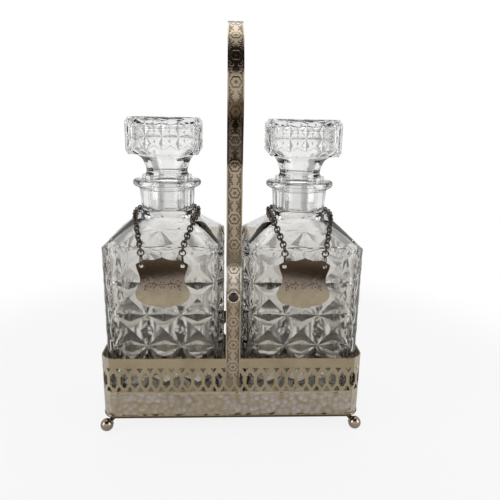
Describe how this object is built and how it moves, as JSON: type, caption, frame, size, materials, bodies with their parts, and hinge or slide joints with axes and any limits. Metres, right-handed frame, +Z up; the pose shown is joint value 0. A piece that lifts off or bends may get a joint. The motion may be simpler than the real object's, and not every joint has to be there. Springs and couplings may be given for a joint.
{
  "type": "antique tantalus",
  "caption": "Silver-plated gallery tray with a swing handle that holds square pressed-glass decanters, each with a lift-out stopper and a label hung on a chain.",
  "frame": {"origin": "on the floor under the middle of the tray", "axes": "+X along the tray to the right, -Y to the front where the labels hang, +Z up through the handle"},
  "size_m": [0.2074, 0.116, 0.308],
  "materials": {
    "plate_metal": "silver plate over brass, hammered and warmly tarnished",
    "strap_metal": "silver plate over brass, embossed, tarnished in the hollows",
    "ball_metal": "polished silver plate over brass",
    "dark_metal": "dark tarnished silver plate",
    "chain_metal": "dark tarnished wire",
    "label_metal": "polished silver plate with warm tarnish",
    "glass": "clear pressed glass",
    "clear_seal": "clear soft sleeve, slightly frosted"
  },
  "bodies": {
    "tray": {"base_plate": "plate_metal", "gallery_wall": "plate_metal", "foot_ball_front_left": "ball_metal", "foot_bracket_front_left": "dark_metal", "foot_ball_front_right": "ball_metal", "foot_bracket_front_right": "dark_metal", "foot_ball_back_left": "ball_metal", "foot_bracket_back_left": "dark_metal", "foot_ball_back_right": "ball_metal", "foot_bracket_back_right": "dark_metal", "upright_front": "strap_metal", "pivot_rivet_front": "dark_metal", "pivot_washer_front": "ball_metal", "upright_back": "strap_metal", "pivot_rivet_back": "dark_metal", "pivot_washer_back": "ball_metal"},
    "handle": {"swing_handle": "strap_metal"},
    "left_decanter": {"decanter_left": "glass", "label_chain_left": "chain_metal"},
    "left_stopper": {"stopper_left": "glass", "stopper_seal_left": "clear_seal"},
    "left_label": {"label_left": "label_metal", "label_link_left": "chain_metal"},
    "right_decanter": {"decanter_right": "glass", "label_chain_right": "chain_metal"},
    "right_stopper": {"stopper_right": "glass", "stopper_seal_right": "clear_seal"},
    "right_label": {"label_right": "label_metal", "label_link_right": "chain_metal"}
  },
  "joints": [
    {"name": "handle_swing", "type": "hinge", "parent": "tray", "child": "handle", "pos_m": [0, 0, 0.1136], "axis": [0, 1, 0], "range_deg": [-115, 115]},
    {"name": "left_decanter_lift", "type": "slide", "parent": "tray", "child": "left_decanter", "axis": [0, 0, 1], "range_m": [0, 0.06]},
    {"name": "left_stopper_lift", "type": "slide", "parent": "left_decanter", "child": "left_stopper", "axis": [0, 0, 1], "range_m": [0, 0.03]},
    {"name": "left_label_swing", "type": "hinge", "parent": "left_decanter", "child": "left_label", "pos_m": [-0.0521, -0.04674, 0.14282], "axis": [-1, 0, 0], "range_deg": [0, 70]},
    {"name": "right_decanter_lift", "type": "slide", "parent": "tray", "child": "right_decanter", "axis": [0, 0, 1], "range_m": [0, 0.06]},
    {"name": "right_stopper_lift", "type": "slide", "parent": "right_decanter", "child": "right_stopper", "axis": [0, 0, 1], "range_m": [0, 0.03]},
    {"name": "right_label_swing", "type": "hinge", "parent": "right_decanter", "child": "right_label", "pos_m": [0.0521, -0.04674, 0.14282], "axis": [-1, 0, 0], "range_deg": [0, 70]}
  ]
}
